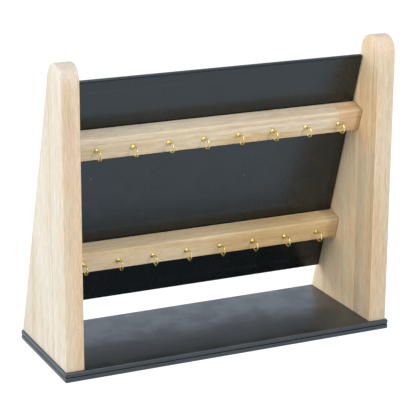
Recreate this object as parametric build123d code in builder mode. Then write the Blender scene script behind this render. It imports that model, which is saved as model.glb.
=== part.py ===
from build123d import *
import os
from math import acos, atan2, cos, degrees, sin, sqrt

# Necklace display. Two wooden side panels stand on a base of two covered boards. A covered board
# leans between them along their sloping rear edges, and two wooden rails in front of it carry a
# row of brass cup hooks each.
# Sizes are in millimetres. X runs along the rails, the user is at -Y, and Z is up.
# The origin is the middle of the underside.

os.makedirs("parts", exist_ok=True)

# Side panels, each glued up from a front and a rear stave
inner_width = 335.0  # clear width between the two panels
panel_thickness = 20.0
panel_height = 316.5
panel_depth = 134.0  # front to rear at the foot
panel_top_depth = 32.0  # front to rear at the top, before the corners are rounded
panel_front_radius = 17.0
panel_rear_radius = 16.5
front_stave_width = 35.5
wood_edge_radius = 1.0

# Leatherette covering, and the cores that it is wrapped round
cover = 0.7
core_corner_radius = 1.3  # the corners, seen square to the board
core_edge_radius = 0.8  # the edges of both faces
mitre_slit = 0.3  # gap between two hems where they meet at a corner
mitre_margin = 2.5  # how far the slit stays inside the folded corner

# Base: two covered boards glued hem to hem, with a card that fills the space inside the hems
base_core_thickness = 3.8
base_side_overhang = 2.1
base_front_overhang = 3.5
base_rear_overhang = 0.2
base_hem = 15.0
card_clearance = 0.3

# Back board: its covering is turned onto the front, and a facing sheet is glued over the hems
board_core_thickness = 2.9
board_set_in = 3.1  # from the panels' rear edges to the back of the board
board_length = 276.6  # along the slope
board_foot_height = 28.8  # from the base up to the lower front edge
board_side_gap = 0.4
board_hem = 12.5
facing_margin = 1.6  # how far the facing stays inside the edges of the board
facing_clearance = 0.2  # between the facing and the hems that it steps down beside
facing_step = 2.5  # width of the slope where the facing steps down from the hems to the core

# Rails, measured along the slope from the lower edge of the back board to their middle
rail_depth = 20.0
rail_height = 25.0
upper_rail_position = 208.1
lower_rail_position = 66.5

# Cup hooks: a bent wire with a screw shank, and a separate dished collar
hook_count = 8  # on each rail
first_hook_from_end = 29.3
last_hook_from_end = 27.1
hook_below_middle = 1.4  # from the middle of the rail's face down to the shank
wire_diameter = 1.6
wire_tip_radius = 0.5
loop_radius = 5.2  # of the wire's centre line
loop_drop = 0.9  # from the shank down to the middle of the loop
loop_opening = 80.0  # degrees of the loop that are left open below the collar
neck_radius = 2.4
shank_diameter = 2.2
shank_length = 11.0
shank_point = 3.0
shank_clearance = 0.05
collar_diameter = 5.6
collar_height = 2.0
collar_top_diameter = 2.8
collar_wall = 0.45
collar_clearance = 0.05

# Dowels between the rails and the panels
dowel_diameter = 6.0
dowel_spacing = 12.0
dowel_in_rail = 14.0
dowel_in_panel = 11.0
dowel_chamfer = 0.6

# Pins in the side edges of the back board, along the slope from its lower edge
pin_diameter = 1.6
pin_positions = (40.0, 135.0, 230.0)
pin_in_board = 12.0
pin_in_panel = 10.0
pin_chamfer = 0.3

# Both kinds of hole
peg_clearance = 0.1  # round a dowel or pin
peg_end_clearance = 0.5  # at each end of it

# Screws up through the upper base board into the panels, from the front of the panel
screw_positions = (22.0, 72.0, 113.0)
screw_diameter = 3.0
screw_length = 30.0
screw_point = 4.0
screw_head_diameter = 6.4
screw_clearance = 0.1
recess_length = 3.6
recess_width = 0.8
recess_depth = 0.9

# Worked out from the sizes above
base_board_thickness = base_core_thickness + 2 * cover
base_height = 2 * base_board_thickness
base_length = inner_width + 2 * (panel_thickness + base_side_overhang)
base_depth = panel_depth + base_front_overhang + base_rear_overhang
panel_front = base_front_overhang - base_depth / 2
panel_rear = panel_front + panel_depth
panel_top = base_height + panel_height
lean = atan2(panel_depth - panel_top_depth, panel_height)
board_thickness = board_core_thickness + 3 * cover
board_front_out = board_set_in + board_thickness
board_width = inner_width - 2 * board_side_gap
board_foot = (board_foot_height + board_front_out * sin(lean)) / cos(lean)
hook_pitch = (inner_width - first_hook_from_end - last_hook_from_end) / (hook_count - 1)

# The plane of the panels' sloping rear edges: its X runs along the rails, its Y up the slope,
# and it faces the user
slope = Plane(
    origin=(0, panel_rear, base_height),
    x_dir=(1, 0, 0),
    z_dir=(0, -cos(lean), -sin(lean)),
)


def plane_on_slope(along, out, across=0.0):
    """A plane that faces the user, at a distance up the slope and out from the rear edges."""
    return Plane(
        origin=slope.from_local_coords((across, along, out)),
        x_dir=slope.x_dir,
        z_dir=slope.z_dir,
    )


def section_plane(along, out, across=0.0):
    """A plane square to the rails, with its X to the rear and its Y up the slope."""
    return Plane(
        origin=slope.from_local_coords((across, along, out)),
        x_dir=-slope.z_dir,
        z_dir=(1, 0, 0),
    )


def wrapped_board(hem_face, length, width, thickness, hem):
    """A core and its covering, which is turned over all four edges onto the hem face."""
    with BuildPart() as core:
        with BuildSketch(hem_face):
            RectangleRounded(length - 2 * cover, width - 2 * cover, core_corner_radius)
        extrude(amount=-thickness)
        fillet(core.faces().filter_by(hem_face).edges(), core_edge_radius)

    with BuildPart() as covering:
        with BuildSketch(hem_face.offset(cover)):
            RectangleRounded(length, width, core_corner_radius + cover)
        extrude(amount=-(thickness + 2 * cover))
        fillet(covering.faces().filter_by(hem_face).edges(), core_edge_radius + cover)
        add(core.part, mode=Mode.SUBTRACT)
        # the open middle of the hems, and the slits where they meet on the diagonals
        slit_end = hem + mitre_slit
        slit_length = sqrt(2) * (slit_end - mitre_margin)
        slit_middle = (slit_end + mitre_margin) / 2
        with BuildSketch(hem_face.offset(cover)):
            Rectangle(length - 2 * hem, width - 2 * hem)
            for x_side in (-1, 1):
                for y_side in (-1, 1):
                    corner = (
                        x_side * (length / 2 - slit_middle),
                        y_side * (width / 2 - slit_middle),
                    )
                    with Locations(corner):
                        Rectangle(slit_length, mitre_slit, rotation=45 * x_side * y_side)
        extrude(amount=-cover, mode=Mode.SUBTRACT)
    return core.part, covering.part


def peg(diameter, length, chamfer_size):
    """A round dowel or pin along X, with its middle at the origin."""
    with BuildPart() as one_peg:
        with BuildSketch(Plane.YZ):
            Circle(diameter / 2)
        extrude(amount=length / 2, both=True)
        chamfer(one_peg.edges().filter_by(GeomType.CIRCLE), chamfer_size)
    return one_peg.part


# Base boards. The upper one has its hems underneath and the lower one has them on top.
upper_core, upper_covering = wrapped_board(
    Plane(origin=(0, 0, base_board_thickness + cover), x_dir=(1, 0, 0), z_dir=(0, 0, -1)),
    base_length,
    base_depth,
    base_core_thickness,
    base_hem,
)
lower_core, lower_covering = wrapped_board(
    Plane.XY.offset(base_board_thickness - cover),
    base_length,
    base_depth,
    base_core_thickness,
    base_hem,
)
upper_core_underside = base_board_thickness + cover
screw_x = (inner_width + panel_thickness) / 2
screw_points = {
    side: [(side * screw_x, panel_front + position) for position in screw_positions]
    for side in (-1, 1)
}
all_screw_points = screw_points[-1] + screw_points[1]
screw_heads = [
    Plane(origin=(x, y, upper_core_underside), z_dir=(0, 0, -1)) for x, y in all_screw_points
]
screw_hole_radius = screw_diameter / 2 + screw_clearance

with BuildPart() as upper_base_core:
    add(upper_core)
    with Locations(*screw_heads):
        CounterSinkHole(
            radius=screw_hole_radius,
            counter_sink_radius=screw_head_diameter / 2 + screw_clearance,
            depth=base_core_thickness,
            counter_sink_angle=90,
        )
upper_base_core.part.label = "upper_base_core"
export_step(upper_base_core.part, "parts/upper_base_core.step")

with BuildPart() as upper_base_covering:
    add(upper_covering)
    # room for the screw heads in the hems, and for their shafts in the top
    with BuildSketch(Plane.XY.offset(base_board_thickness)):
        with Locations(*all_screw_points):
            Circle(screw_head_diameter / 2 + screw_clearance)
    extrude(amount=cover, mode=Mode.SUBTRACT)
    with BuildSketch(Plane.XY.offset(base_height - cover)):
        with Locations(*all_screw_points):
            Circle(screw_hole_radius)
    extrude(amount=cover, mode=Mode.SUBTRACT)
upper_base_covering.part.label = "upper_base_covering"
export_step(upper_base_covering.part, "parts/upper_base_covering.step")

with BuildPart() as lower_base_core:
    add(lower_core)
lower_base_core.part.label = "lower_base_core"
export_step(lower_base_core.part, "parts/lower_base_core.step")

with BuildPart() as lower_base_covering:
    add(lower_covering)
lower_base_covering.part.label = "lower_base_covering"
export_step(lower_base_covering.part, "parts/lower_base_covering.step")

with BuildPart() as base_filler_card:
    with BuildSketch(Plane.XY.offset(base_board_thickness - cover)):
        card_inset = 2 * (base_hem + card_clearance)
        Rectangle(base_length - card_inset, base_depth - card_inset)
    extrude(amount=2 * cover)
base_filler_card.part.label = "base_filler_card"
export_step(base_filler_card.part, "parts/base_filler_card.step")

# Back board, made on its front face
board_middle = board_foot + board_length / 2
board_core_face = plane_on_slope(board_middle, board_set_in + cover + board_core_thickness)
board_pin_out = board_set_in + cover + board_core_thickness / 2
bare_board_core, bare_board_covering = wrapped_board(
    board_core_face, board_width, board_length, board_core_thickness, board_hem
)


def pin_holes(across):
    """The outlines of the pin holes of the back board, on a plane square to X at across."""
    with BuildSketch(section_plane(board_middle, board_pin_out, across)) as holes:
        with Locations(*[(0, position - board_length / 2) for position in pin_positions]):
            Circle(pin_diameter / 2 + peg_clearance)
    return holes.sketch


with BuildPart() as back_board_core:
    add(bare_board_core)
    extrude(pin_holes(board_width / 2), amount=-pin_in_board, mode=Mode.SUBTRACT)
    extrude(pin_holes(-board_width / 2), amount=pin_in_board, mode=Mode.SUBTRACT)
back_board_core.part.label = "back_board_core"
export_step(back_board_core.part, "parts/back_board_core.step")

with BuildPart() as back_board_covering:
    add(bare_board_covering)
    extrude(pin_holes(board_width / 2), amount=-pin_in_board, mode=Mode.SUBTRACT)
    extrude(pin_holes(-board_width / 2), amount=pin_in_board, mode=Mode.SUBTRACT)
back_board_covering.part.label = "back_board_covering"
export_step(back_board_covering.part, "parts/back_board_covering.step")

with BuildPart() as back_board_facing:
    window_width = board_width - 2 * board_hem
    window_length = board_length - 2 * board_hem
    # over the hems
    with BuildSketch(board_core_face.offset(cover)):
        RectangleRounded(
            board_width - 2 * facing_margin,
            board_length - 2 * facing_margin,
            core_corner_radius,
        )
    extrude(amount=cover)
    # down onto the core inside them
    with BuildSketch(board_core_face):
        Rectangle(window_width - 2 * facing_clearance, window_length - 2 * facing_clearance)
    extrude(amount=cover)
    # the shallow hollow where the sheet steps down
    with BuildSketch(board_core_face.offset(2 * cover)):
        Rectangle(window_width, window_length)
    with BuildSketch(board_core_face.offset(cover)):
        Rectangle(window_width - 2 * facing_step, window_length - 2 * facing_step)
    loft(mode=Mode.SUBTRACT)
back_board_facing.part.label = "back_board_facing"
export_step(back_board_facing.part, "parts/back_board_facing.step")

# Rails
rail_positions = {"upper": upper_rail_position, "lower": lower_rail_position}
rail_middle_out = board_front_out + rail_depth / 2
hook_x = [first_hook_from_end - inner_width / 2 + hook_pitch * i for i in range(hook_count)]
rails = {}


def rail_dowel_section(name, across):
    """The section plane through a rail's middle, at a place across the display."""
    return section_plane(board_foot + rail_positions[name], rail_middle_out, across)


def dowel_holes(name, across):
    """The outlines of the two dowel holes of a rail, on a plane square to X at across."""
    with BuildSketch(rail_dowel_section(name, across)) as holes:
        with GridLocations(0, dowel_spacing, 1, 2):
            Circle(dowel_diameter / 2 + peg_clearance)
    return holes.sketch


for name, position in rail_positions.items():
    with BuildPart() as rail:
        with BuildSketch(section_plane(board_foot + position, rail_middle_out)):
            RectangleRounded(rail_depth, rail_height, wood_edge_radius)
        extrude(amount=inner_width / 2, both=True)
        extrude(dowel_holes(name, inner_width / 2), amount=-dowel_in_rail, mode=Mode.SUBTRACT)
        extrude(dowel_holes(name, -inner_width / 2), amount=dowel_in_rail, mode=Mode.SUBTRACT)
        # pilot holes for the hooks
        with BuildSketch(plane_on_slope(board_foot + position, board_front_out + rail_depth)):
            with Locations(*[(x, -hook_below_middle) for x in hook_x]):
                Circle(shank_diameter / 2 + shank_clearance)
        extrude(amount=-shank_length - peg_end_clearance, mode=Mode.SUBTRACT)
    rails[name] = rail.part
    rail.part.label = f"{name}_rail"
    export_step(rail.part, f"parts/{name}_rail.step")

# Side panels. The whole right one is made first and sawn along its glue line.
with BuildPart() as right_panel:
    with BuildSketch(Plane.YZ.offset(inner_width / 2)):
        with BuildLine():
            outline = FilletPolyline(
                (panel_front, base_height),
                (panel_front, panel_top),
                (panel_front + panel_top_depth, panel_top),
                (panel_rear, base_height),
                radius=[panel_front_radius, panel_rear_radius],
            )
            Line(outline @ 1, outline @ 0)
        make_face()
    extrude(amount=panel_thickness)
    # every edge of the two broad faces is eased, apart from those that stand on the base
    broad_edges = right_panel.edges().filter_by(Plane.YZ)
    foot_edges = broad_edges.group_by(Axis.Z)[0]
    fillet(broad_edges - foot_edges, wood_edge_radius)
    for name in rail_positions:
        extrude(dowel_holes(name, inner_width / 2), amount=dowel_in_panel, mode=Mode.SUBTRACT)
    extrude(pin_holes(inner_width / 2), amount=pin_in_panel, mode=Mode.SUBTRACT)
    # pilot holes for the screws
    with BuildSketch(Plane.XY.offset(base_height)):
        with Locations(*screw_points[1]):
            Circle(screw_hole_radius)
    extrude(amount=screw_length, mode=Mode.SUBTRACT)

glue_line = Plane.XZ.offset(-(panel_front + front_stave_width))

with BuildPart() as right_front_stave:
    add(right_panel.part)
    split(bisect_by=glue_line, keep=Keep.TOP)
right_front_stave.part.label = "right_front_stave"
export_step(right_front_stave.part, "parts/right_front_stave.step")

with BuildPart() as right_rear_stave:
    add(right_panel.part)
    split(bisect_by=glue_line, keep=Keep.BOTTOM)
right_rear_stave.part.label = "right_rear_stave"
export_step(right_rear_stave.part, "parts/right_rear_stave.step")

with BuildPart() as left_front_stave:
    mirror(right_front_stave.part, about=Plane.YZ)
left_front_stave.part.label = "left_front_stave"
export_step(left_front_stave.part, "parts/left_front_stave.step")

with BuildPart() as left_rear_stave:
    mirror(right_rear_stave.part, about=Plane.YZ)
left_rear_stave.part.label = "left_rear_stave"
export_step(left_rear_stave.part, "parts/left_rear_stave.step")

# Dowels, pins and screws, one group for each panel
dowel_length = dowel_in_rail + dowel_in_panel - 2 * peg_end_clearance
dowel_middle = inner_width / 2 + (dowel_in_panel - dowel_in_rail) / 2
dowel = peg(dowel_diameter, dowel_length, dowel_chamfer)
pin_foot_x = board_width / 2 - pin_in_board + peg_end_clearance
pin_end_x = inner_width / 2 + pin_in_panel - peg_end_clearance
board_pin = peg(pin_diameter, pin_end_x - pin_foot_x, pin_chamfer)

with BuildPart() as side_screw:
    head_radius = screw_head_diameter / 2
    shaft_radius = screw_diameter / 2
    with BuildSketch(Plane.XZ):
        with BuildLine():
            Polyline(
                (0, 0),
                (head_radius, 0),
                (shaft_radius, head_radius - shaft_radius),
                (shaft_radius, screw_length - screw_point),
                (0, screw_length),
                close=True,
            )
        make_face()
    revolve(axis=Axis.Z)
    # the cross recess
    with BuildSketch(Plane.XY):
        Rectangle(recess_length, recess_width)
        Rectangle(recess_width, recess_length)
    extrude(amount=recess_depth, mode=Mode.SUBTRACT)

for side, word in ((-1, "left"), (1, "right")):
    with BuildPart() as rail_dowels:
        for name in rail_positions:
            middle = rail_dowel_section(name, side * dowel_middle)
            half_spacing = middle.y_dir * dowel_spacing / 2
            with Locations(middle.origin - half_spacing, middle.origin + half_spacing):
                add(dowel)
    rail_dowels.part.label = f"{word}_rail_dowels"
    export_step(rail_dowels.part, f"parts/{word}_rail_dowels.step")

    with BuildPart() as board_pins:
        for position in pin_positions:
            pin_x = side * (pin_foot_x + pin_end_x) / 2
            with Locations(
                section_plane(board_foot + position, board_pin_out, pin_x).origin
            ):
                add(board_pin)
    board_pins.part.label = f"{word}_board_pins"
    export_step(board_pins.part, f"parts/{word}_board_pins.step")

    with BuildPart() as panel_screws:
        with Locations(*[(x, y, upper_core_underside) for x, y in screw_points[side]]):
            add(side_screw.part)
    panel_screws.part.label = f"{word}_panel_screws"
    export_step(panel_screws.part, f"parts/{word}_panel_screws.step")

# One cup hook, made with X out of the rail and Y up its face
with BuildPart() as cup_hook:
    neck_start = collar_height
    neck_turn = degrees(acos((neck_radius + loop_drop) / (neck_radius + loop_radius)))
    with BuildLine():
        stub = Line((0, 0), (neck_start, 0))
        neck = JernArc(stub @ 1, stub % 1, neck_radius, neck_turn)
        JernArc(neck @ 1, neck % 1, loop_radius, loop_opening - 360)
    with BuildSketch(Plane.YZ):
        Circle(wire_diameter / 2)
    sweep()
    tip = cup_hook.faces().filter_by(GeomType.PLANE).sort_by(Axis.X)[-1]
    fillet(tip.edges(), wire_tip_radius)
    with BuildSketch(Plane.XY):
        with BuildLine():
            Polyline(
                (0, 0),
                (0, shank_diameter / 2),
                (shank_point - shank_length, shank_diameter / 2),
                (-shank_length, 0),
                close=True,
            )
        make_face()
    revolve(axis=Axis.X)

# Its dished collar, pressed from thin sheet
with BuildPart() as hook_collar:
    with BuildSketch(Plane.XY):
        with BuildLine():
            rim = collar_diameter / 2
            crown = collar_top_diameter / 2
            bore = wire_diameter / 2 + collar_clearance
            outside = TangentArc((0, rim), (collar_height, crown), tangent=(1, 0))
            inside = TangentArc(
                (0, rim - collar_wall), (collar_height - collar_wall, crown), tangent=(1, 0)
            )
            Polyline(
                outside @ 1,
                (collar_height, bore),
                (collar_height - collar_wall, bore),
                inside @ 1,
            )
            Line(inside @ 0, outside @ 0)
        make_face()
    revolve(axis=Axis.X)

for name, position in rail_positions.items():
    shank_along = board_foot + position - hook_below_middle
    hook_planes = [
        Plane(
            origin=slope.from_local_coords((x, shank_along, board_front_out + rail_depth)),
            x_dir=slope.z_dir,
            z_dir=(-1, 0, 0),
        )
        for x in hook_x
    ]
    for number, hook_plane in enumerate(hook_planes, start=1):
        with BuildPart() as hook:
            with Locations(hook_plane):
                add(cup_hook.part)
        hook.part.label = f"{name}_hook_{number}"
        export_step(hook.part, f"parts/{name}_hook_{number}.step")

    with BuildPart() as collars:
        with Locations(*hook_planes):
            add(hook_collar.part)
    collars.part.label = f"{name}_hook_collars"
    export_step(collars.part, f"parts/{name}_hook_collars.step")
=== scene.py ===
"""The looks of the necklace display: its timber, leatherette and brass, its light and its camera."""

from math import acos, atan2, cos, pi, radians, sin, tan

import bpy
from mathutils import Matrix, Vector


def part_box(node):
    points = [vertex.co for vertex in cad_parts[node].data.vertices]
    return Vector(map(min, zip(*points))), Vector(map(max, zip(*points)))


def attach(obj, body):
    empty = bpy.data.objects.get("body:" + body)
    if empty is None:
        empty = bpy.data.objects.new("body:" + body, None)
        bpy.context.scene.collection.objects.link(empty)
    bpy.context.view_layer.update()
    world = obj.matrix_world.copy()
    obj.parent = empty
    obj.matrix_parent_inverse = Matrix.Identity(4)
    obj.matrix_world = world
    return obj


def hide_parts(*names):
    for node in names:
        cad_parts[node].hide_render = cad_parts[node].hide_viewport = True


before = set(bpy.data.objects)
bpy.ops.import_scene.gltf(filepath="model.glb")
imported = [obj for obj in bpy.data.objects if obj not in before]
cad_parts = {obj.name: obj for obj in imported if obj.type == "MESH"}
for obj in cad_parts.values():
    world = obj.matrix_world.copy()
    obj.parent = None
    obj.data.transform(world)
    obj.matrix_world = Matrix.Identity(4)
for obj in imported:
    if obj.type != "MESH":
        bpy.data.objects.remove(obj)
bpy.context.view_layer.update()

MM = 0.001
cut_tolerance = 0.001 * MM
merge_distance = 0.001 * MM
near_enough = 0.002 * MM

# Sizes that the frame's boxes don't give, in metres
panel_top_depth = 32 * MM
panel_front_radius = 17 * MM
panel_rear_radius = 16.5 * MM
wood_edge_radius = 1 * MM
rail_end_easing = 0.35 * MM
cover = 0.7 * MM
covered_corner_radius = 2 * MM
covered_edge_radius = 1.5 * MM
base_hem = 15 * MM
board_length = 276.6 * MM
board_core_thickness = 2.9 * MM
board_set_in = 3.1 * MM
board_foot_height = 28.8 * MM
board_hem = 12.5 * MM
board_side_gap = 0.4 * MM
facing_margin = 1.6 * MM
facing_step = 2.5 * MM
facing_softness = 1.1 * MM
facing_corner_radius = 1.5 * MM
rail_depth = 20 * MM
rail_height = 25 * MM
rail_positions = {"upper": 208.1 * MM, "lower": 66.5 * MM}
hook_count = 8
first_hook_from_end = 29.3 * MM
last_hook_from_end = 27.1 * MM
hook_below_middle = 1.4 * MM
wire_radius = 0.8 * MM
wire_tip_radius = 0.5 * MM
wire_clearance = 0.05 * MM
loop_radius = 5.2 * MM
loop_drop = 0.9 * MM
loop_opening = radians(80)
neck_radius = 2.4 * MM
shank_radius = 1.1 * MM
shank_length = 11 * MM
shank_point = 3 * MM
shank_tip_radius = 0.055 * MM
collar_radius = 2.8 * MM
collar_height = 2 * MM
collar_top_radius = 1.4 * MM
collar_wall = 0.45 * MM
screw_positions = (22 * MM, 72 * MM, 113 * MM)
screw_radius = 1.5 * MM
screw_length = 30 * MM
screw_point = 4 * MM
screw_tip_radius = 0.05 * MM
screw_head_radius = 3.2 * MM
recess_length = 3.6 * MM
recess_width = 0.8 * MM
recess_depth = 0.9 * MM

# Places read from the frame
base_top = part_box("upper_base_covering")[1].z
boards_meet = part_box("lower_base_covering")[1].z
panel_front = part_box("left_front_stave")[0].y
glue_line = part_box("left_front_stave")[1].y
panel_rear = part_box("left_rear_stave")[1].y
panel_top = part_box("left_front_stave")[1].z
screw_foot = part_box("left_panel_screws")[0].z
outer_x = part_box("right_front_stave")[1].x
inner_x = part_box("right_front_stave")[0].x

sides = {"left": -1, "right": 1}
panel_middle = (inner_x + outer_x) / 2
lean = atan2(panel_rear - panel_front - panel_top_depth, panel_top - base_top)
board_half_width = inner_x - board_side_gap
board_front_out = board_set_in + board_core_thickness + 3 * cover
board_foot = (board_foot_height + board_front_out * sin(lean)) / cos(lean)
hook_pitch = (2 * inner_x - first_hook_from_end - last_hook_from_end) / (hook_count - 1)

# The plane of the panels' sloping rear edges: X along the rails, Y up the slope, Z to the front
slope = Matrix.Translation((0, panel_rear, base_top)) @ Matrix(
    (
        (1, 0, 0, 0),
        (0, -sin(lean), -cos(lean), 0),
        (0, cos(lean), -sin(lean), 0),
        (0, 0, 0, 1),
    )
)


# Modelling


def select_only(*pieces):
    """Selects these pieces and nothing else, and makes the first of them active."""
    bpy.ops.object.select_all(action="DESELECT")
    for piece in pieces:
        piece.select_set(True)
    bpy.context.view_layer.objects.active = pieces[0]


def open_new(name):
    """Names the piece that was added last, and opens it for editing with its mesh selected."""
    piece = bpy.context.object
    piece.name = name
    bpy.ops.object.mode_set(mode="EDIT")
    bpy.ops.mesh.select_mode(type="VERT")
    bpy.ops.mesh.select_all(action="SELECT")
    return piece


def box_piece(name, low, high):
    """A box between two corners, with its object at the origin, open for editing."""
    low, high = Vector(low), Vector(high)
    bpy.ops.mesh.primitive_cube_add(size=1, location=(low + high) / 2)
    bpy.context.object.scale = high - low
    bpy.ops.object.transform_apply(location=True, rotation=True, scale=True)
    return open_new(name)


def circle_piece(name, radius, vertices, fill):
    """A flat circle about the origin, open for editing, as the start of a round piece."""
    bpy.ops.mesh.primitive_circle_add(vertices=vertices, radius=radius, fill_type=fill)
    return open_new(name)


def near(value, wanted):
    """Whether two measures are the same, apart from rounding."""
    return abs(value - wanted) < near_enough


def select(piece, kind, test):
    """Selects the vertices, edges or faces of the open piece that pass a test of their corners."""
    bpy.ops.mesh.select_mode(type={"vertices": "VERT", "edges": "EDGE", "polygons": "FACE"}[kind])
    bpy.ops.mesh.select_all(action="DESELECT")
    bpy.ops.object.mode_set(mode="OBJECT")
    mesh = piece.data
    for element in getattr(mesh, kind):
        if kind == "vertices":
            corners = [element.co]
        else:
            corners = [mesh.vertices[i].co for i in element.vertices]
        element.select = test(corners)
    bpy.ops.object.mode_set(mode="EDIT")


def widen(factor):
    """Widens what is selected about its middle, and leaves its height."""
    bpy.ops.transform.resize(value=(factor, factor, 1))


def extrude_rings(radius, rings):
    """Extrudes the selected circle, of a radius, through rings given by height and radius."""
    height = 0
    for new_height, new_radius in rings:
        rise = (0, 0, new_height - height)
        bpy.ops.mesh.extrude_region_move(TRANSFORM_OT_translate={"value": rise})
        widen(new_radius / radius)
        height, radius = new_height, new_radius


def close_edit(piece, smooth_angle=35):
    """Ends the editing of a piece: merges doubles, turns the faces out and smooths its shading."""
    bpy.ops.mesh.select_all(action="SELECT")
    bpy.ops.mesh.remove_doubles(threshold=merge_distance)
    bpy.ops.mesh.normals_make_consistent(inside=False)
    bpy.ops.object.mode_set(mode="OBJECT")
    bpy.ops.object.shade_smooth_by_angle(angle=radians(smooth_angle))


def add_wall(piece, thickness, even):
    """Gives an open shell its thickness, on its inner side. An even wall is as thick at a fold."""
    wall = piece.modifiers.new("wall", "SOLIDIFY")
    wall.thickness = thickness
    wall.offset = -1
    wall.use_even_offset = even
    bpy.ops.object.modifier_apply(modifier=wall.name)


def place_on_slope(piece):
    """Moves a piece that was modelled in the slope's own frame to its place on the display."""
    select_only(piece)
    piece.matrix_world = slope
    bpy.ops.object.transform_apply(location=True, rotation=True, scale=True)


def finish_piece(piece, material, slot, *nodes):
    """Gives a piece its material, and puts it in the place of the nodes that it stands for."""
    piece.data.materials.clear()
    piece.data.materials.append(material)
    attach(piece, "root")
    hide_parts(*nodes)


# Timber pieces


def model_stave(name, side, front):
    """One stave of a side panel: the whole panel is shaped, then cut along its glue line."""
    x_low, x_high = sorted((side * inner_x, side * outer_x))
    stave = box_piece(name, (x_low, panel_front, base_top), (x_high, panel_rear, panel_top))

    select(stave, "vertices", lambda c: near(c[0].z, panel_top) and near(c[0].y, panel_rear))
    top_rear = panel_front + panel_top_depth
    bpy.ops.transform.translate(value=(0, top_rear - panel_rear, 0))
    for edge_y, turn, radius in (
        (panel_front, pi / 2, panel_front_radius),
        (top_rear, pi / 2 - lean, panel_rear_radius),
    ):
        select(stave, "edges", lambda c: all(near(v.z, panel_top) and near(v.y, edge_y) for v in c))
        bpy.ops.mesh.bevel(offset=radius * tan(turn / 2), segments=20, affect="EDGES")

    def eased(corners):
        on_broad_face = any(all(near(v.x, x) for v in corners) for x in (x_low, x_high))
        return on_broad_face and not all(near(v.z, base_top) for v in corners)

    select(stave, "edges", eased)
    bpy.ops.mesh.bevel(offset=wood_edge_radius, segments=4, affect="EDGES", clamp_overlap=False)
    bpy.ops.mesh.select_all(action="SELECT")
    bpy.ops.mesh.bisect(
        plane_co=(0, glue_line, 0),
        plane_no=(0, 1, 0),
        threshold=cut_tolerance,
        use_fill=True,
        clear_outer=front,
        clear_inner=not front,
    )
    close_edit(stave)
    return stave


def model_rail(word):
    """A rail with eased edges. Its ends are eased less, where they butt against the panels."""
    middle = board_foot + rail_positions[word]
    low = Vector((-inner_x, middle - rail_height / 2, board_front_out))
    high = Vector((inner_x, middle + rail_height / 2, board_front_out + rail_depth))
    rail = box_piece(f"rail_{word}", low, high)
    select(rail, "edges", lambda c: near(c[0].y, c[1].y) and near(c[0].z, c[1].z))
    bpy.ops.mesh.bevel(offset=wood_edge_radius, segments=4, affect="EDGES")
    select(rail, "edges", lambda c: near(abs(c[0].x), inner_x) and near(c[0].x, c[1].x))
    bpy.ops.mesh.bevel(offset=rail_end_easing, segments=2, affect="EDGES", clamp_overlap=False)
    close_edit(rail)
    place_on_slope(rail)
    return rail


def on_rail(word, x, up, out):
    """A place on a rail: along it, up the slope from its middle, and out from its back."""
    return slope @ Vector((x, board_foot + rail_positions[word] + up, board_front_out + out))


# Leatherette pieces


def model_covering(name, low, high, hem, hem_up):
    """Leatherette wrapped round a board, with its hems turned onto the upper or lower face."""
    covering = box_piece(name, low, high)
    select(covering, "edges", lambda c: not near(c[0].z, c[1].z))
    bpy.ops.mesh.bevel(offset=covered_corner_radius, segments=5, affect="EDGES")
    select(covering, "edges", lambda c: near(c[0].z, c[1].z))
    bpy.ops.mesh.bevel(
        offset=covered_edge_radius, segments=5, affect="EDGES", clamp_overlap=False
    )

    # the hems leave a window open in the middle of their face
    hem_z = high[2] if hem_up else low[2]
    for axis in (0, 1):
        across = Vector((axis == 0, axis == 1, 0))
        for cut in (low[axis] + hem, high[axis] - hem):
            bpy.ops.mesh.select_all(action="SELECT")
            bpy.ops.mesh.bisect(plane_co=across * cut, plane_no=across, threshold=cut_tolerance)

    def in_window(corners):
        middle = sum(corners, Vector()) / len(corners)
        inside = all(low[axis] + hem < middle[axis] < high[axis] - hem for axis in (0, 1))
        return inside and near(middle.z, hem_z)

    select(covering, "polygons", in_window)
    bpy.ops.mesh.delete(type="FACE")
    close_edit(covering, smooth_angle=50)
    add_wall(covering, cover, even=True)
    return covering


def model_facing():
    """The front of the back board. It lies over the hems and steps down to the core inside them."""
    margin = facing_margin
    low = Vector((-board_half_width + margin, board_foot + margin, board_front_out - cover))
    high = Vector((board_half_width - margin, board_foot + board_length - margin, board_front_out))
    facing = box_piece("board_facing", low, high)
    for face_z, depth in ((low.z, cover), (high.z, -cover)):
        select(facing, "polygons", lambda c: all(near(v.z, face_z) for v in c))
        bpy.ops.mesh.inset(thickness=board_hem - margin)
        bpy.ops.mesh.inset(thickness=facing_step, depth=depth)

    # the step is soft, apart from its edge on the core, and the sheet's corners are cut round
    window = Vector((board_half_width - board_hem, board_length / 2 - board_hem))
    board_middle = board_foot + board_length / 2

    def on_step(corners):
        level = near(corners[0].z, corners[1].z) and not near(corners[0].z, low.z - cover)
        past = [max(abs(v.x) - window.x, abs(v.y - board_middle) - window.y) for v in corners]
        return level and any(all(near(p, edge) for p in past) for edge in (0, -facing_step))

    select(facing, "edges", on_step)
    bpy.ops.mesh.bevel(offset=facing_softness, segments=4, affect="EDGES")
    select(facing, "edges", lambda c: not near(c[0].z, c[1].z) and near(c[0].x, c[1].x))
    bpy.ops.mesh.bevel(offset=facing_corner_radius, segments=4, affect="EDGES")
    close_edit(facing)
    place_on_slope(facing)
    return facing


# Brass pieces


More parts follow.
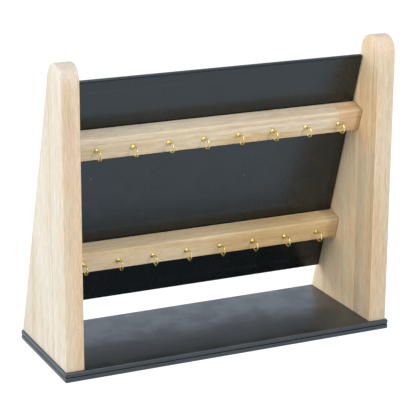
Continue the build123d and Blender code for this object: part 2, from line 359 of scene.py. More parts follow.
def model_hook():
    """A cup hook bent from wire, in the slope's frame, with its foot at the origin."""
    hook = circle_piece("hook_pattern", wire_radius, vertices=24, fill="NGON")
    extrude_rings(wire_radius, [(collar_height, wire_radius)])

    # the wire turns up at the neck, and then the other way round the cup
    reach = neck_radius + loop_radius
    neck_turn = acos((neck_radius + loop_drop) / reach)
    neck_middle = Vector((0, neck_radius, collar_height))
    loop_middle = neck_middle + reach * Vector((0, -cos(neck_turn), sin(neck_turn)))
    bpy.ops.mesh.spin(steps=10, angle=neck_turn, center=neck_middle, axis=(1, 0, 0))
    bpy.ops.mesh.spin(steps=48, angle=loop_opening - 2 * pi, center=loop_middle, axis=(1, 0, 0))
    bpy.ops.mesh.select_mode(type="FACE")
    bpy.ops.mesh.region_to_loop()
    bpy.ops.mesh.bevel(offset=wire_tip_radius, segments=4, affect="EDGES")

    # the screw shank
    select(hook, "polygons", lambda c: all(near(v.z, 0) for v in c))
    widen(shank_radius / wire_radius)
    rings = [(shank_point - shank_length, shank_radius), (-shank_length, shank_tip_radius)]
    extrude_rings(shank_radius, rings)
    close_edit(hook, smooth_angle=60)
    return hook


def model_collar():
    """A dished collar, pressed from thin sheet, in the slope's frame with its rim on the rail."""
    collar = circle_piece("collar_pattern", collar_radius, vertices=40, fill="NOTHING")

    # the arc leaves the rim square to the rail, and its crown is flat round the wire
    narrowing = collar_radius - collar_top_radius
    arc_radius = (collar_height**2 + narrowing**2) / (2 * narrowing)
    arc_angle = 2 * atan2(narrowing, collar_height)
    steps = 8
    rings = []
    for step in range(1, steps + 1):
        angle = arc_angle * step / steps
        rings.append((arc_radius * sin(angle), collar_radius - arc_radius * (1 - cos(angle))))
    crown_height = rings[-1][0]
    rings.append((crown_height, wire_radius + wire_clearance))
    extrude_rings(collar_radius, rings)
    close_edit(collar, smooth_angle=50)
    add_wall(collar, collar_wall, even=False)
    return collar


def hook_places(word):
    """The places of the hooks on the front of a rail."""
    first_x = first_hook_from_end - inner_x
    y = board_foot + rail_positions[word] - hook_below_middle
    z = board_front_out + rail_depth
    return [slope @ Matrix.Translation((first_x + hook_pitch * n, y, z)) for n in range(hook_count)]


# Screws


def model_screw():
    """A countersunk screw that stands on its head, with the middle of its head at the origin."""
    screw = circle_piece("screw_pattern", screw_head_radius, vertices=32, fill="NGON")
    rings = [
        (screw_head_radius - screw_radius, screw_radius),
        (screw_length - screw_point, screw_radius),
        (screw_length, screw_tip_radius),
    ]
    extrude_rings(screw_head_radius, rings)
    close_edit(screw)

    # the cross recess
    corner = Vector((recess_width / 2, recess_width / 2, recess_depth))
    cross = box_piece("cross", -corner, corner)
    select(cross, "polygons", lambda c: not all(near(v.z, c[0].z) for v in c))
    arm = (recess_length - recess_width) / 2
    bpy.ops.mesh.extrude_faces_move(TRANSFORM_OT_shrink_fatten={"value": arm})
    close_edit(cross)
    recess = screw.modifiers.new("recess", "BOOLEAN")
    recess.object = cross
    select_only(screw)
    bpy.ops.object.modifier_apply(modifier=recess.name)
    bpy.data.objects.remove(cross)
    return screw


def screw_places(side):
    """The places of the heads of the screws that hold a side panel."""
    x = side * panel_middle
    return [Matrix.Translation((x, panel_front + y, screw_foot)) for y in screw_positions]


# Copies


def hang_copies(pattern, places):
    """A copy of a pattern at each of the places, each with its own mesh."""
    copies = []
    for place in places:
        copy = bpy.data.objects.new(pattern.name, pattern.data.copy())
        bpy.context.scene.collection.objects.link(copy)
        copy.data.transform(place)
        copies.append(copy)
    return copies


def join_copies(name, pattern, places):
    """A copy of a pattern at each of the places, joined to one piece."""
    copies = hang_copies(pattern, places)
    select_only(*copies)
    bpy.ops.object.join()
    copies[0].name = name
    return copies[0]


# Node trees


def feed(tree, fed, feeds):
    """Gives the sockets of a node, by name or number, a value or the output to link."""
    for key, value in feeds.items():
        if isinstance(value, bpy.types.NodeSocket):
            tree.links.new(value, fed.inputs[key])
        else:
            fed.inputs[key].default_value = value


def node(tree, kind, feeds=None, **settings):
    """Adds a node with its settings, and feeds its sockets."""
    made = tree.nodes.new(kind)
    for key, value in settings.items():
        setattr(made, key, value)
    feed(tree, made, feeds or {})
    return made


def maths(tree, operation, first, second=0.0):
    """A sum on two numbers."""
    return node(tree, "ShaderNodeMath", {0: first, 1: second}, operation=operation).outputs[0]


def vector_maths(tree, operation, first, second):
    """A sum on two vectors."""
    return node(tree, "ShaderNodeVectorMath", {0: first, 1: second}, operation=operation).outputs[0]


def scaled(tree, vector, factor):
    """A vector times a number."""
    feeds = {0: vector, "Scale": factor}
    return node(tree, "ShaderNodeVectorMath", feeds, operation="SCALE").outputs[0]


def length(tree, vector):
    """The length of a vector."""
    return node(tree, "ShaderNodeVectorMath", {0: vector}, operation="LENGTH").outputs["Value"]


def noise(tree, place, scale, detail):
    """The outputs of a noise: Fac from 0 to 1, and Color."""
    return node(
        tree, "ShaderNodeTexNoise", {"Vector": place, "Scale": scale, "Detail": detail}
    ).outputs


def cells(tree, place, scale, feature="F1"):
    """How far a place lies from the middle of its cell."""
    return node(
        tree, "ShaderNodeTexVoronoi", {"Vector": place, "Scale": scale}, feature=feature
    ).outputs["Distance"]


def mix_colours(tree, factor, first, second, blend="MIX"):
    """The first colour at a factor of 0, and the second, or its blend with the first, at 1."""
    feeds = {0: factor, 6: first, 7: second}
    return node(tree, "ShaderNodeMix", feeds, data_type="RGBA", blend_type=blend).outputs[2]


def mix_shaders(tree, share, first, second):
    """The first shader, with a share of the second."""
    return node(tree, "ShaderNodeMixShader", {0: share, 1: first, 2: second}).outputs[0]


def step_between(tree, value, low, high, at_low=0.0, at_high=1.0):
    """A smooth change from at_low to at_high as value goes from low to high."""
    feeds = {"Value": value, "From Min": low, "From Max": high, "To Min": at_low, "To Max": at_high}
    return node(tree, "ShaderNodeMapRange", feeds, interpolation_type="SMOOTHSTEP").outputs[0]


def screen_colour(red, green, blue):
    """A colour written as it shows on a screen, from 0 to 255, for a shader socket."""
    return tuple(((c / 255 + 0.055) / 1.055) ** 2.4 for c in (red, green, blue)) + (1,)


white = (1, 1, 1, 1)
black = (0, 0, 0, 1)
lint_grey = (0.3, 0.3, 0.3, 1)
seam_and_shade_brown = screen_colour(98, 62, 38)


def new_group(name, inputs):
    """A shader node group that gives out a surface. Returns its tree and what is given to it."""
    tree = bpy.data.node_groups.new(name, "ShaderNodeTree")
    kinds = {"float": "NodeSocketFloat", "vector": "NodeSocketVector", "color": "NodeSocketColor"}
    for socket_name, kind in inputs:
        tree.interface.new_socket(socket_name, in_out="INPUT", socket_type=kinds[kind])
    for socket_name, kind in (("Color", "color"), ("Roughness", "float"), ("Height", "float")):
        tree.interface.new_socket(socket_name, in_out="OUTPUT", socket_type=kinds[kind])
    return tree, node(tree, "NodeGroupInput").outputs


def give_out(tree, colour, roughness, height):
    """Links the results of a group to its outputs."""
    node(tree, "NodeGroupOutput", {"Color": colour, "Roughness": roughness, "Height": height})


def timber_group():
    """Sawn timber with its grain along Z and the heart of the tree on the Z axis."""
    tree, given = new_group(
        "timber",
        [
            ("Vector", "vector"),
            ("End Grain", "float"),
            ("Ring Width", "float"),
            ("Ring Strength", "float"),
            ("Waviness", "float"),
            ("Pale", "color"),
            ("Tan", "color"),
            ("Ring", "color"),
            ("Joint", "float"),
            ("Past Joint", "color"),
            ("Tone And Light", "color"),
            ("Seam", "float"),
        ],
    )

    # lengths are glued end to end, and the one past the joint has its own grain
    along = node(tree, "ShaderNodeSeparateXYZ", {0: given["Vector"]}).outputs["Z"]
    past_joint = maths(tree, "GREATER_THAN", along, given["Joint"])
    own_grain = scaled(tree, (0.07, 0.05, 0.4), past_joint)
    place = vector_maths(tree, "ADD", given["Vector"], own_grain)

    def drawn_out(across, lengthwise):
        """The place, scaled so that a pattern has so many features in a metre each way."""
        return vector_maths(tree, "MULTIPLY", place, (across, across, lengthwise))

    def grain_noise(across, lengthwise, detail):
        return noise(tree, drawn_out(across, lengthwise), 1, detail)

    # slow bends of the rings
    bends = grain_noise(22, 3.2, detail=2)["Color"]
    bend = vector_maths(tree, "SUBTRACT", bends, (0.5, 0.5, 0.5))
    bent = vector_maths(tree, "ADD", place, scaled(tree, bend, given["Waviness"]))
    radius = length(tree, vector_maths(tree, "MULTIPLY", bent, (1, 1, 0)))

    # each ring darkens slowly and ends sharply
    turn = maths(tree, "FRACT", maths(tree, "DIVIDE", radius, given["Ring Width"]))
    darkens = step_between(tree, turn, 0.35, 0.9)
    ends = step_between(tree, turn, 0.92, 1.0, 1.0, 0.0)
    ring = maths(tree, "MULTIPLY", darkens, ends)
    fade = step_between(tree, grain_noise(35, 2, detail=2)["Fac"], 0.35, 0.7)
    ring = maths(tree, "MULTIPLY", maths(tree, "MULTIPLY", ring, fade), given["Ring Strength"])

    # broad pale and tan streaks
    streak = step_between(tree, grain_noise(80, 4, detail=3)["Fac"], 0.25, 0.75)
    colour = mix_colours(tree, streak, given["Pale"], given["Tan"])
    colour = mix_colours(tree, ring, colour, given["Ring"])

    # narrow streaks that start and end within a few centimetres
    narrow = grain_noise(340, 40, detail=3)["Fac"]
    dark_streak = step_between(tree, narrow, 0.5, 0.72, 0.0, 0.26)
    pale_streak = step_between(tree, narrow, 0.28, 0.46, 0.28, 0.0)
    colour = mix_colours(tree, dark_streak, colour, given["Ring"])
    colour = mix_colours(tree, pale_streak, colour, given["Pale"])

    # fibres, and the open ends of the vessels as short dashes
    fibre = grain_noise(900, 80, detail=4)["Fac"]
    shade = step_between(tree, fibre, 0.3, 0.7, 0.88, 1.07)
    shades = node(tree, "ShaderNodeCombineColor", {0: shade, 1: shade, 2: shade}).outputs[0]
    colour = mix_colours(tree, 1.0, colour, shades, "MULTIPLY")
    vessel = step_between(tree, cells(tree, drawn_out(620, 130), 1), 0.1, 0.24, 1.0, 0.0)
    crowded = step_between(tree, grain_noise(60, 12, detail=1)["Fac"], 0.38, 0.6)
    vessel = maths(tree, "MULTIPLY", vessel, crowded)
    colour = mix_colours(tree, maths(tree, "MULTIPLY", vessel, 0.6), colour, given["Ring"])

    # sawn ends are a little paler
    ends_shade = maths(tree, "MULTIPLY", given["End Grain"], 0.2)
    colour = mix_colours(tree, ends_shade, colour, given["Pale"])

    # pin knots
    knot = step_between(tree, cells(tree, place, 60), 0.015, 0.05, 0.45, 0.0)
    colour = mix_colours(tree, knot, colour, seam_and_shade_brown)

    # the tone changes at the joint and in patches, some of which are painted light and shade; the
    # joint's thin line and the seams with other pieces are dark, partly as painted shade of a gap
    tone_and_light = mix_colours(tree, past_joint, white, given["Past Joint"])
    tone_and_light = mix_colours(tree, 1.0, tone_and_light, given["Tone And Light"], "MULTIPLY")
    colour = mix_colours(tree, 1.0, colour, tone_and_light, "MULTIPLY")
    from_joint = maths(tree, "ABSOLUTE", maths(tree, "SUBTRACT", along, given["Joint"]))
    joint_line = step_between(tree, from_joint, 0.1 * MM, 0.4 * MM, 0.15, 0.0)
    dark_line = maths(tree, "MAXIMUM", joint_line, given["Seam"])
    colour = mix_colours(tree, dark_line, colour, seam_and_shade_brown)

    roughness = step_between(tree, fibre, 0.3, 0.7, 0.62, 0.5)
    height = maths(tree, "SUBTRACT", fibre, maths(tree, "MULTIPLY", vessel, 1.5))
    give_out(tree, colour, roughness, height)
    return tree


def leather_grain_group():
    """The pebbled face of leatherette, with a slow unevenness under it and lint on it."""
    tree, given = new_group(
        "leatherette grain",
        [
            ("Vector", "vector"),
            ("Ground", "color"),
            ("Worn", "color"),
            ("Softness", "float"),
            ("Unevenness", "float"),
            ("Crease Shade", "float"),
        ],
    )
    place = given["Vector"]

    # the pebbles are cells that a fine noise pulls out of round
    pull = scaled(tree, noise(tree, place, 900, 1)["Color"], 0.6 * MM)
    pebbles = cells(tree, vector_maths(tree, "ADD", place, pull), 1400, "SMOOTH_F1")

    slow = noise(tree, place, 48, 3)["Fac"]
    uneven = step_between(tree, slow, 0.35, 0.65, 0.0, 0.12)
    uneven = maths(tree, "MULTIPLY", uneven, given["Unevenness"])
    roughness = maths(tree, "ADD", given["Softness"], uneven)
    worn = step_between(tree, slow, 0.35, 0.75)
    colour = mix_colours(tree, worn, given["Ground"], given["Worn"])
    lint = step_between(tree, cells(tree, place, 38), 0.018, 0.03, 0.5, 0.0)
    colour = mix_colours(tree, lint, colour, lint_grey)
    # painted shade: the crease between two boards is painted black
    colour = mix_colours(tree, given["Crease Shade"], colour, black)
    height = maths(tree, "SUBTRACT", maths(tree, "MULTIPLY", slow, given["Unevenness"]), pebbles)
    give_out(tree, colour, roughness, height)
    return tree


def handled_metal_group():
    """Fine wear and a slow tarnish on metal."""
    tree, given = new_group(
        "handled metal",
        [("Vector", "vector"), ("Bright", "color"), ("Dull", "color"), ("Polish", "float")],
    )
    fine = noise(tree, given["Vector"], 4200, 2)["Fac"]
    dull = step_between(tree, noise(tree, given["Vector"], 320, 3)["Fac"], 0.45, 0.75)
    colour = mix_colours(tree, dull, given["Bright"], given["Dull"])
    roughness = maths(tree, "ADD", given["Polish"], maths(tree, "MULTIPLY", dull, 0.14))
    roughness = maths(tree, "ADD", roughness, maths(tree, "MULTIPLY", fine, 0.06))
    give_out(tree, colour, roughness, fine)
    return tree


timber = timber_group()
leather_grain = leather_grain_group()
handled_metal = handled_metal_group()


# Materials


def new_material(name):
    """An empty material. Returns it, its node tree and its Principled BSDF."""
    material = bpy.data.materials.new(name)
    material.use_nodes = True
    tree = material.node_tree
    tree.nodes.clear()
    shader = node(tree, "ShaderNodeBsdfPrincipled")
    node(tree, "ShaderNodeOutputMaterial", {"Surface": shader.outputs["BSDF"]})
    return material, tree, shader


def object_place(tree):
    """Where on the display a point lies."""
    return node(tree, "ShaderNodeTexCoord").outputs["Object"]


def bumped(tree, height, depth, strength):
    """The normal of a face with a bump of a depth."""
    feeds = {"Height": height, "Distance": depth, "Strength": strength}
    return node(tree, "ShaderNodeBump", feeds).outputs["Normal"]


def dress(tree, shader, group, feeds, bump_depth, bump_strength):
    """Puts a surface group into a material, and its height through a bump to the shader."""
    surface = node(tree, "ShaderNodeGroup", feeds, node_tree=group).outputs
    feeds = {
        "Base Color": surface["Color"],
        "Roughness": surface["Roughness"],
        "Normal": bumped(tree, surface["Height"], bump_depth, bump_strength),
    }
    feed(tree, shader, feeds)


def seam_and_shade_mask(tree, place, seams_and_shade_lines):
    """Dark lines, each at a plane: the axis it is square to, its place, its reach and strength. Some
    are glue lines, some painted shade.
    """
    axes = node(tree, "ShaderNodeSeparateXYZ", {0: place}).outputs
    mask = 0.0
    for axis, seam, reach, strength in seams_and_shade_lines:
        distance = maths(tree, "ABSOLUTE", maths(tree, "SUBTRACT", axes[axis], seam))
        line = step_between(tree, distance, reach / 3, reach, strength, 0.0)
        mask = maths(tree, "MAXIMUM", mask, line)
    return mask


def patch_tones_and_light(tree, place, patches):
    """The tone and painted light that the wood's colour is multiplied by: white, and a tint within
    each patch.
    """
    tone_and_light = white
    for centre, reach, tint in patches:
        feeds = {"Vector": place, "Location": centre, "Scale": reach}
        inside = node(tree, "ShaderNodeMapping", feeds, vector_type="TEXTURE").outputs[0]
        share = step_between(tree, length(tree, inside), 0.5, 1.0, 1.0, 0.0)
        tinted = mix_colours(tree, share, white, tint + (1,))
        tone_and_light = mix_colours(tree, 1.0, tone_and_light, tinted, "MULTIPLY")
    return tone_and_light


def timber_material(
    name,
    turn,
    heart,
    ring_width,
    ring_strength,
    waviness,
    pale_wood,
    tan_wood,
    ring_wood,
    joint=1,
    past_joint=white,
    patches=(),
    seams_and_shade_lines=(),
):
    """Timber whose grain the turn brings to Z, and whose heart then lies off the Z axis.

    The joint lies along the grain, and at 1 m it is past the end of every piece.
    """
    material, tree, shader = new_material(name)
    coordinates = node(tree, "ShaderNodeTexCoord").outputs
    feeds = {"Vector": coordinates["Object"], "Location": heart, "Rotation": turn}
    place = node(tree, "ShaderNodeMapping", feeds).outputs[0]
    feeds = {"Vector": coordinates["Normal"], "Rotation": turn}
    facing = node(tree, "ShaderNodeMapping", feeds, vector_type="NORMAL").outputs[0]
    along = node(tree, "ShaderNodeSeparateXYZ", {0: facing}).outputs["Z"]
    feeds = {
        "Vector": place,
        "End Grain": maths(tree, "ABSOLUTE", along),
        "Ring Width": ring_width,
        "Ring Strength": ring_strength,
        "Waviness": waviness,
        "Pale": screen_colour(*pale_wood),
        "Tan": screen_colour(*tan_wood),
        "Ring": screen_colour(*ring_wood),
        "Joint": joint + heart[2],
        "Past Joint": past_joint,
        "Tone And Light": patch_tones_and_light(tree, coordinates["Object"], patches),
        "Seam": seam_and_shade_mask(tree, coordinates["Object"], seams_and_shade_lines),
    }
    dress(tree, shader, timber, feeds, bump_depth=0.05 * MM, bump_strength=0.35)
    feed(tree, shader, {"Specular IOR Level": 0.32})
    return material


def leatherette_material(name, ground, worn, softness, unevenness, gloss, crease_shades):
    """Leatherette. The crease between two boards is painted shade: it is made black metal, which
    gives no light back.
    """
    material, tree, shader = new_material(name)
    place = object_place(tree)
    crease_shade = seam_and_shade_mask(tree, place, crease_shades)
    feeds = {
        "Vector": place,
        "Ground": screen_colour(*ground),
        "Worn": screen_colour(*worn),
        "Softness": softness,
        "Unevenness": unevenness,
        "Crease Shade": crease_shade,
    }
    dress(tree, shader, leather_grain, feeds, bump_depth=0.03 * MM, bump_strength=0.5)
    feeds = {
        "Metallic": crease_shade,
        "Specular IOR Level": gloss,
        "Specular Tint": (0.84, 0.92, 0.97, 1),
    }
    feed(tree, shader, feeds)
    return material


def metal_material(name, bright, dull, polish):
    """Brass or steel that has been handled."""
    material, tree, shader = new_material(name)
    feeds = {
        "Vector": object_place(tree),
        "Bright": screen_colour(*bright),
        "Dull": screen_colour(*dull),
        "Polish": polish,
    }
    dress(tree, shader, handled_metal, feeds, bump_depth=0.01 * MM, bump_strength=0.2)
    feed(tree, shader, {"Metallic": 1})
    return material


def pressed_board_material(name, pale, dark):
    """The flecked brown or grey of fibreboard and of card."""
    material, tree, shader = new_material(name)
    flecks = noise(tree, object_place(tree), 700, 5)["Fac"]
    share = step_between(tree, flecks, 0.35, 0.65)
    feeds = {
        "Base Color": mix_colours(tree, share, screen_colour(*dark), screen_colour(*pale)),
        "Roughness": 0.85,
        "Normal": bumped(tree, flecks, depth=0.05 * MM, strength=0.4),
    }
    feed(tree, shader, feeds)
    return material


# Stage


def place_camera():
    """The camera of the photograph, fitted to the edges of the panels, rails and base."""
    place = Vector((-730.78, -1558.88, 672.48)) * MM
    yaw, pitch, roll = 0.4390, 0.2980, 0.0053
    ahead = Vector((sin(yaw) * cos(pitch), cos(yaw) * cos(pitch), -sin(pitch)))
    level = Vector((cos(yaw), -sin(yaw), 0))
    above = level.cross(ahead)
    right = level * cos(roll) + above * sin(roll)
    up = above * cos(roll) - level * sin(roll)
    camera = bpy.data.objects.new("camera", bpy.data.cameras.new("camera"))
    bpy.context.scene.collection.objects.link(camera)
    turned = Matrix((right, up, -ahead)).transposed().to_4x4()
    camera.matrix_world = Matrix.Translation(place) @ turned
    camera.data.lens = 145.52
    camera.data.sensor_width = 36
    bpy.context.scene.camera = camera


def shown_directly(tree):
    """One for rays that show the floor or the sky: from the camera, a gloss or through glass."""
    rays = node(tree, "ShaderNodeLightPath").outputs
    seen = maths(tree, "MAXIMUM", rays["Is Camera Ray"], rays["Is Glossy Ray"])
    return maths(tree, "MAXIMUM", seen, rays["Is Transmission Ray"])


def white_or_cool(tree, kind):
    """White for the camera, and a cool white of the same brightness for reflections in a gloss."""
    mirrored = node(tree, "ShaderNodeLightPath").outputs["Is Glossy Ray"]
    plain = node(tree, kind, {"Color": white, "Strength": 1.2}).outputs[0]
    cool = node(tree, kind, {"Color": (0.88, 0.98, 1.1, 1), "Strength": 1}).outputs[0]
    return mix_shaders(tree, mirrored, plain, cool)


def make_floor():
    """A pale floor. As it is seen, four fifths of it is its own glow, so its shadows are faint."""
    bpy.ops.mesh.primitive_plane_add(size=8)
    floor = bpy.context.object
    floor.name = "floor"
    material = bpy.data.materials.new("pale floor")
    material.use_nodes = True
    tree = material.node_tree
    tree.nodes.clear()
    matt = node(tree, "ShaderNodeBsdfDiffuse", {"Color": (0.85, 0.85, 0.85, 1)}).outputs[0]
    glow = white_or_cool(tree, "ShaderNodeEmission")
    glow_share = maths(tree, "MULTIPLY", shown_directly(tree), 0.8)
    mixed = mix_shaders(tree, glow_share, matt, glow)
    node(tree, "ShaderNodeOutputMaterial", {"Surface": mixed})
    floor.data.materials.append(material)


def make_sky(light_strength):
    """A white sky as it is seen, which lights the display with a strength of its own."""
    world = bpy.data.worlds.new("studio")
    world.use_nodes = True
    tree = world.node_tree
    tree.nodes.clear()
    light = node(tree, "ShaderNodeBackground", {"Color": white, "Strength": light_strength})
    seen = white_or_cool(tree, "ShaderNodeBackground")
    mixed = mix_shaders(tree, shown_directly(tree), light.outputs[0], seen)
    node(tree, "ShaderNodeOutputWorld", {"Surface": mixed})
    bpy.context.scene.world = world


def make_lamp(name, azimuth, elevation, distance, size, power, mirrored=True):
    """An area lamp that faces the display. Azimuth 0 is in front of it and 90 on its right."""
    lamp = bpy.data.objects.new(name, bpy.data.lights.new(name, "AREA"))
    bpy.context.scene.collection.objects.link(lamp)
    a, e = radians(azimuth), radians(elevation)
    away = Vector((sin(a) * cos(e), -cos(a) * cos(e), sin(e)))
    middle = Vector((0, 0, panel_top / 2))
    lamp.location = middle + away * distance
    lamp.rotation_mode = "QUATERNION"
    lamp.rotation_quaternion = away.to_track_quat("Z", "Y")
    lamp.data.shape = "DISK"
    lamp.data.size = size
    lamp.data.energy = power
    lamp.visible_glossy = mirrored


# The timbers of this display

upright = (0, 0, 0)
lying = (0, radians(-90), 0)

# Dark lines where pieces meet: the axis, the place, the reach on both sides and the strength
left_staves_meet = (("Y", glue_line, 0.9 * MM, 0.32),)
right_staves_meet = (("Y", glue_line, 0.7 * MM, 0.2),)
# where the rails butt against the panels, the dark line is partly glue and partly painted shade of
# the gap
rail_glue_and_gap_shade = (("X", -inner_x, 1.1 * MM, 0.8), ("X", inner_x, 1.1 * MM, 0.8))

# Each patch of tone or painted light is a centre, a reach along X, Y and Z, and a tint
skin = 0.8 * MM  # a reach that keeps a patch on one flat face, off the eased edges
half_rail = rail_height / 2

left_front_timber = timber_material(
    "timber left front",
    turn=upright,
    heart=(0.20, 0.19, 0),
    ring_width=9 * MM,
    ring_strength=0.25,
    waviness=10 * MM,
    pale_wood=(205, 201, 188),
    tan_wood=(196, 182, 161),
    ring_wood=(180, 154, 125),
    patches=(
        # the front face is warm, and the outer face is made paler as painted light
        ((-panel_middle, panel_front, 0.16), (0.03, 0.001, 0.5), (1.08, 1.0, 0.91)),
        ((-outer_x, -0.04, 0.16), (skin, 0.05, 0.6), (1.16, 1.17, 1.18)),
        # the inner front edge is tan below, and the rounded top is pale
        ((-inner_x, panel_front, 0.08), (0.02, 0.06, 0.32), (0.99, 0.915, 0.84)),
        ((-panel_middle, panel_front, panel_top), (0.03, 0.026, 0.03), (1.07, 1.07, 1.13)),
    ),
    seams_and_shade_lines=left_staves_meet,
)
left_rear_timber = timber_material(
    "timber left rear",
    turn=(0.02, 0.03, 0),
    heart=(0.25, -0.02, 0.3),
    ring_width=8 * MM,
    ring_strength=0.22,
    waviness=26 * MM,
    pale_wood=(219, 212, 197),
    tan_wood=(210, 197, 174),
    ring_wood=(184, 158, 126),
    seams_and_shade_lines=left_staves_meet,
)
right_front_timber = timber_material(
    "timber right front",
    turn=upright,
    heart=(-0.17, 0.17, 0.6),
    ring_width=9 * MM,
    ring_strength=0.22,
    waviness=10 * MM,
    pale_wood=(212, 199, 177),
    tan_wood=(203, 184, 155),
    ring_wood=(176, 143, 109),
    patches=(
        # the inner face is made paler, as painted light against the shade it lies in, and it is tan
        # above with one brown streak
        ((inner_x, -0.045, 0.10), (skin, 0.05, 0.34), (1.33, 1.29, 1.19)),
        ((inner_x, -0.045, 0.245), (0.012, 0.03, 0.06), (1.06, 0.97, 0.86)),
        ((inner_x, -0.056, 0.265), (0.0009, 0.0022, 0.09), (0.88, 0.8, 0.72)),
        # the inner front edge is tan, more so below, and the rounded top is pale
        ((inner_x, panel_front, 0.16), (0.012, 0.01, 0.5), (0.96, 0.93, 0.89)),
        ((inner_x, panel_front, 0.10), (0.011, 0.03, 0.1), (1.0, 0.94, 0.88)),
        ((panel_middle, panel_front, panel_top), (0.03, 0.026, 0.03), (1.07, 1.04, 1.1)),
    ),
    seams_and_shade_lines=right_staves_meet,
)
right_rear_timber = timber_material(
    "timber right rear",
    turn=(0.02, 0.03, 0),
    heart=(-0.12, -0.02, 0.9),
    ring_width=8 * MM,
    ring_strength=0.25,
    waviness=22 * MM,
    # painted light: this stave's colours are paler than the others', to make up for the shade on its
    # inner face
    pale_wood=(252, 234, 204),
    tan_wood=(243, 216, 176),
    ring_wood=(204, 162, 118),
    patches=(
        # the inner face is made paler still, as painted light against the shade it lies in, and it
        # is tan above
        ((inner_x, 0.01, 0.1), (skin, 0.2, 0.6), (1.18, 1.18, 1.15)),
        ((inner_x, -0.02, 0.26), (skin, 0.02, 0.07), (1.02, 0.93, 0.82)),
    ),
    seams_and_shade_lines=right_staves_meet,
)
upper_rail_timber = timber_material(
    "timber upper rail",
    turn=lying,
    heart=(0.3, 0.09, 0.4),
    ring_width=6 * MM,
    ring_strength=0.5,
    waviness=12 * MM,
    pale_wood=(221, 211, 194),
    tan_wood=(208, 190, 161),
    ring_wood=(174, 138, 99),
    joint=140 * MM,
    past_joint=(1.05, 0.89, 0.72, 1),
    patches=(
        # the front is yellow in one place, and darker along its lower edge and at its right end
        (on_rail("upper", 0.04, -8 * MM, rail_depth), (0.055, 0.011, 0.011), (0.95, 0.84, 0.66)),
        (on_rail("upper", 0, -half_rail, rail_depth), (0.6, 0.012, 0.02), (0.94, 0.9, 0.8)),
        (on_rail("upper", inner_x, 0, rail_depth), (0.04, 0.012, 0.03), (0.83, 0.81, 0.78)),
    ),
    seams_and_shade_lines=rail_glue_and_gap_shade,
)
lower_rail_timber = timber_material(
    "timber lower rail",
    turn=lying,
    heart=(0.0, 0.13, 0.8),
    ring_width=6 * MM,
    ring_strength=0.5,
    waviness=12 * MM,
    pale_wood=(229, 211, 178),
    tan_wood=(221, 194, 153),
    ring_wood=(186, 145, 99),
    patches=(
        # the right half is tan; the top face is darker and cooler as painted shade under the upper
        # rail and board, and the front's lower edge paler as painted light from the floor
        (on_rail("lower", 0.1, -half_rail, rail_depth), (0.12, 0.045, 0.045), (0.83, 0.76, 0.6)),
        (on_rail("lower", -0.02, half_rail, 8 * MM), (0.19, 0.016, 0.016), (0.91, 0.93, 0.94)),
        (on_rail("lower", 0, -half_rail, rail_depth), (0.6, 0.010, 0.010), (1.1, 1.14, 1.22)),
    ),
    seams_and_shade_lines=rail_glue_and_gap_shade,
)
dowel_timber = timber_material(
    "timber dowels",
    turn=lying,
    heart=(0.1, 0.1, 0),
    ring_width=2 * MM,
    ring_strength=0.4,
    waviness=2 * MM,
    pale_wood=(232, 212, 180),
    tan_wood=(220, 190, 150),
    ring_wood=(176, 130, 86),
)

# The other materials of this display

board_leatherette = leatherette_material(
    "black leatherette",
    ground=(5, 11, 11),
    worn=(10, 15, 15),
    softness=0.22,
    unevenness=0.6,
    gloss=0.75,
    crease_shades=(),
)
base_leatherette = leatherette_material(
    "black leatherette on base",
    ground=(27, 30, 33),
    worn=(36, 38, 41),
    softness=0.3,
    unevenness=1.0,
    gloss=0.95,
    # painted shade: the crease where the two base boards meet is made black
    crease_shades=(("Z", boards_meet, 0.7 * MM, 0.95),),
)
brass = metal_material("polished brass", bright=(233, 216, 145), dull=(207, 179, 84), polish=0.2)
steel = metal_material(
    "zinc plated steel", bright=(190, 190, 188), dull=(160, 160, 158), polish=0.3
)
fibreboard = pressed_board_material("fibreboard", pale=(164, 132, 98), dark=(120, 92, 66))
card = pressed_board_material("grey card", pale=(150, 146, 140), dark=(120, 117, 112))

# The display is put together

stave_timbers = {
    "left_front": left_front_timber,
    "left_rear": left_rear_timber,
    "right_front": right_front_timber,
    "right_rear": right_rear_timber,
}
for word, side in sides.items():
    for front, end in ((True, "front"), (False, "rear")):
        stave = model_stave(f"stave_{word}_{end}", side, front)
        finish_piece(stave, stave_timbers[f"{word}_{end}"], "panel_wood", f"{word}_{end}_stave")

for word, rail_timber in (("upper", upper_rail_timber), ("lower", lower_rail_timber)):
    finish_piece(model_rail(word), rail_timber, "rail_wood", f"{word}_rail")

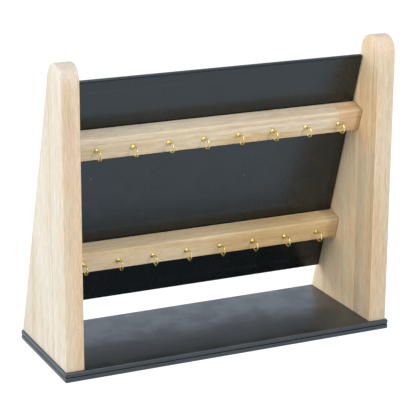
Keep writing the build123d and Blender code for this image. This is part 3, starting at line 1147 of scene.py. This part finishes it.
for word, hem_up in (("upper", False), ("lower", True)):
    low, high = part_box(f"{word}_base_covering")
    covering = model_covering(f"base_covering_{word}", low, high, base_hem, hem_up)
    finish_piece(covering, base_leatherette, "leatherette", f"{word}_base_covering")

covering = model_covering(
    "board_covering",
    (-board_half_width, board_foot, board_set_in),
    (board_half_width, board_foot + board_length, board_front_out - cover),
    board_hem,
    hem_up=True,
)
place_on_slope(covering)
finish_piece(covering, board_leatherette, "leatherette", "back_board_covering")
finish_piece(model_facing(), board_leatherette, "leatherette", "back_board_facing")

hook_pattern, collar_pattern, screw_pattern = model_hook(), model_collar(), model_screw()
for word in rail_positions:
    places = hook_places(word)
    for number, hook in enumerate(hang_copies(hook_pattern, places), start=1):
        hook.name = f"hook_{word}_{number}"
        finish_piece(hook, brass, "hook_brass", f"{word}_hook_{number}")
    collars = join_copies(f"collars_{word}", collar_pattern, places)
    finish_piece(collars, brass, "hook_brass", f"{word}_hook_collars")
for word, side in sides.items():
    screws = join_copies(f"screws_{word}", screw_pattern, screw_places(side))
    finish_piece(screws, steel, "screw_steel", f"{word}_panel_screws")
for pattern in (hook_pattern, collar_pattern, screw_pattern):
    bpy.data.objects.remove(pattern)

# The pieces inside keep their own meshes, and take their material by the last word of their name
hidden_materials = {
    "core": fibreboard,
    "card": card,
    "dowels": dowel_timber,
    "pins": steel,
}
for name, cad_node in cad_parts.items():
    if not cad_node.hide_render:
        cad_node.data.materials.clear()
        cad_node.data.materials.append(hidden_materials[name.rsplit("_", 1)[1]])

place_camera()
make_floor()
make_sky(light_strength=0.27)
make_lamp("left softbox", azimuth=-75, elevation=25, distance=2.0, size=1.2, power=13)
make_lamp("left front softbox", azimuth=-45, elevation=22, distance=2.2, size=1.8, power=2)
make_lamp("high front softbox", azimuth=0, elevation=50, distance=2.2, size=1.0, power=10)
make_lamp("key lamp", azimuth=14, elevation=20, distance=2.2, size=0.22, power=18.5, mirrored=False)
make_lamp("overhead softbox", azimuth=-10, elevation=78, distance=2.0, size=1.4, power=11)
make_lamp("rear left softbox", azimuth=-120, elevation=15, distance=2.2, size=1.4, power=20)
bpy.context.scene.view_settings.view_transform = "Standard"
